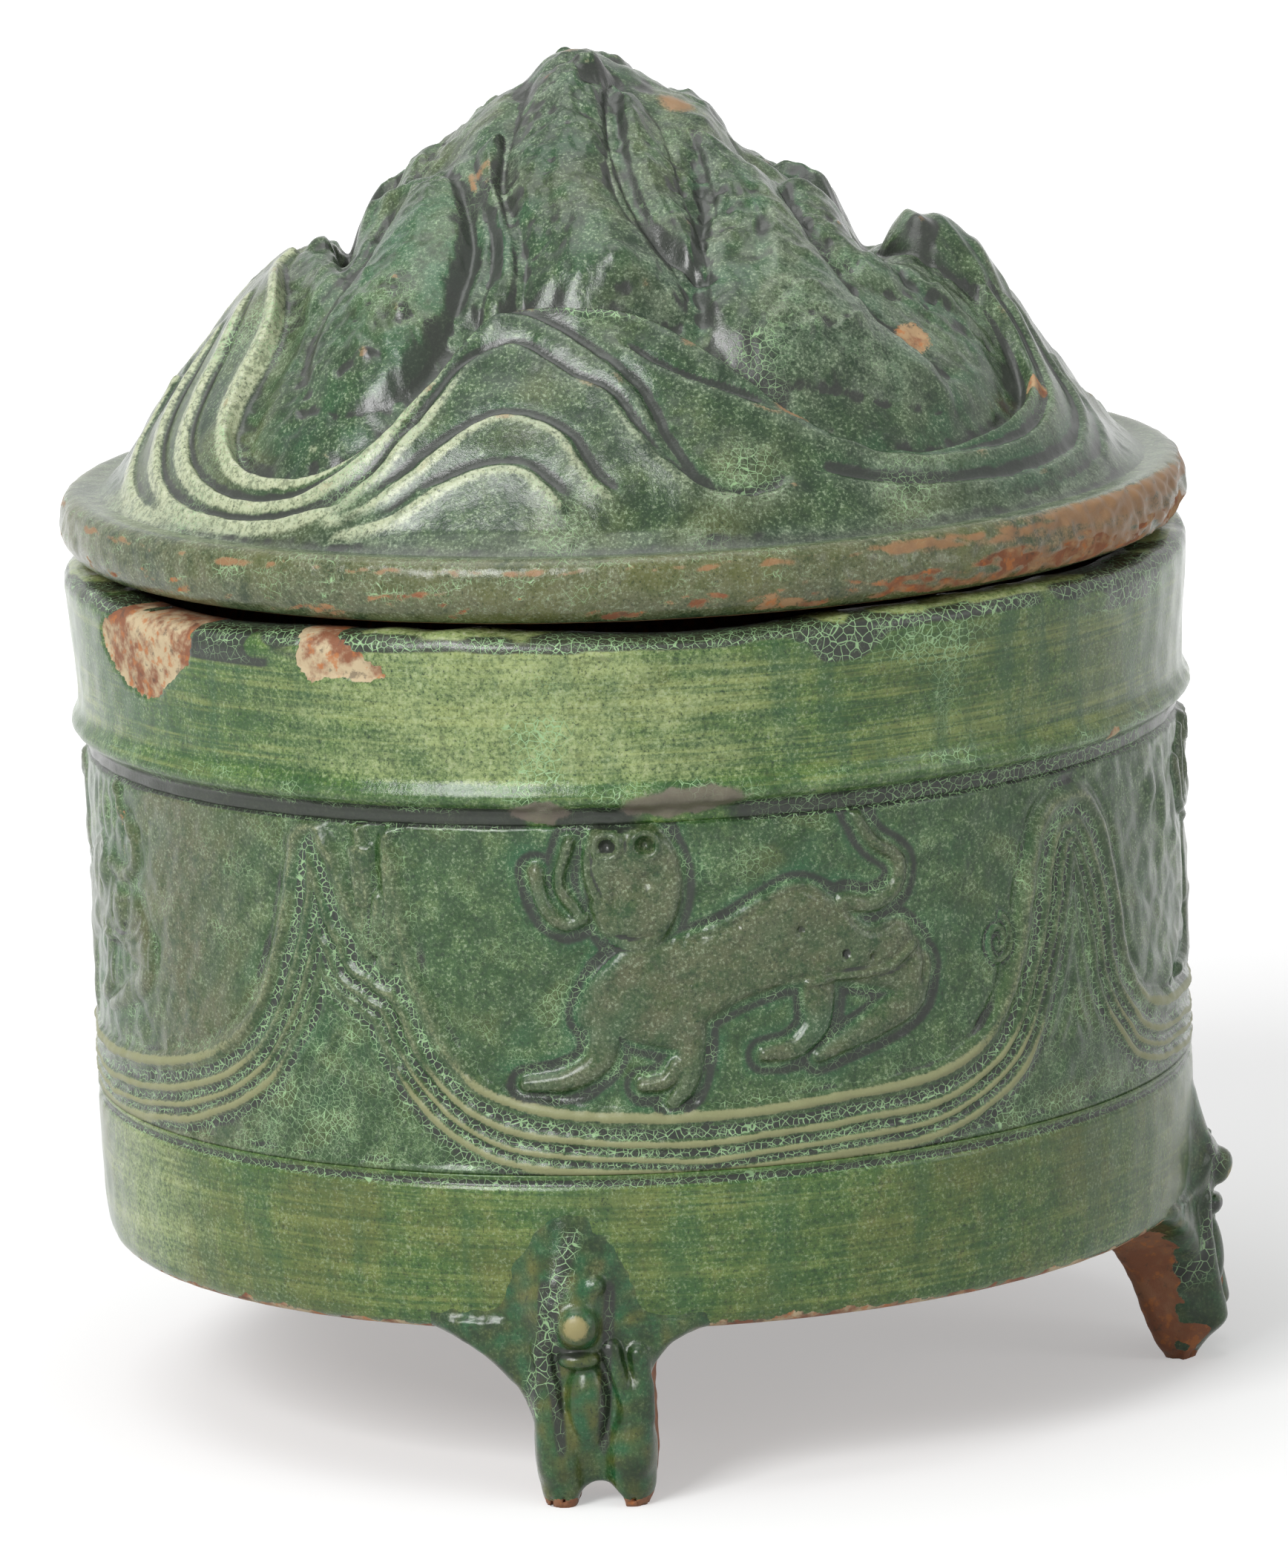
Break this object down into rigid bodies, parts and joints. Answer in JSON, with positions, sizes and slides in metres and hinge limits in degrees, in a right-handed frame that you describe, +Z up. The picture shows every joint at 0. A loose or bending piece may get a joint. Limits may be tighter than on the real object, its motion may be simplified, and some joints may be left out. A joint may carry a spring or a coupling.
{
  "type": "hill jar",
  "caption": "Green-glazed earthenware jar with a lift-off lid shaped as a mountain, a moulded frieze of beasts among hills, and squatting bear feet.",
  "frame": {"origin": "on the ground, under the middle of the whole object's bounding box, with the lid on", "axes": "+Z up along the jar's axis; the front with the walking beast and the front foot faces -Y; +X to the right"},
  "size_m": [0.203, 0.2024, 0.2368],
  "materials": {
    "jar_glaze": "crackled lead glaze, glossy where it is thick and worn at the edges",
    "frieze_glaze": "crackled lead glaze, worn thin over the relief",
    "hill_glaze": "crackled lead glaze with pale ridges and dark pools",
    "flange_glaze": "lead glaze with encrusted, bare and chipped clay",
    "foot_glaze": "crackled lead glaze over red clay",
    "bare_clay": "unglazed matt earthenware"
  },
  "bodies": {
    "jar": {"jar_wall": "jar_glaze", "jar_floor": "bare_clay", "relief_frieze": "frieze_glaze", "foot_front": "foot_glaze", "foot_right": "foot_glaze", "foot_back": "foot_glaze"},
    "lid": {"lid_rim": "flange_glaze", "lid_hill": "hill_glaze"}
  },
  "joints": [
    {"name": "lid_lift", "type": "slide", "parent": "jar", "child": "lid", "axis": [0, 0, 1], "range_m": [0, 0.12]}
  ]
}
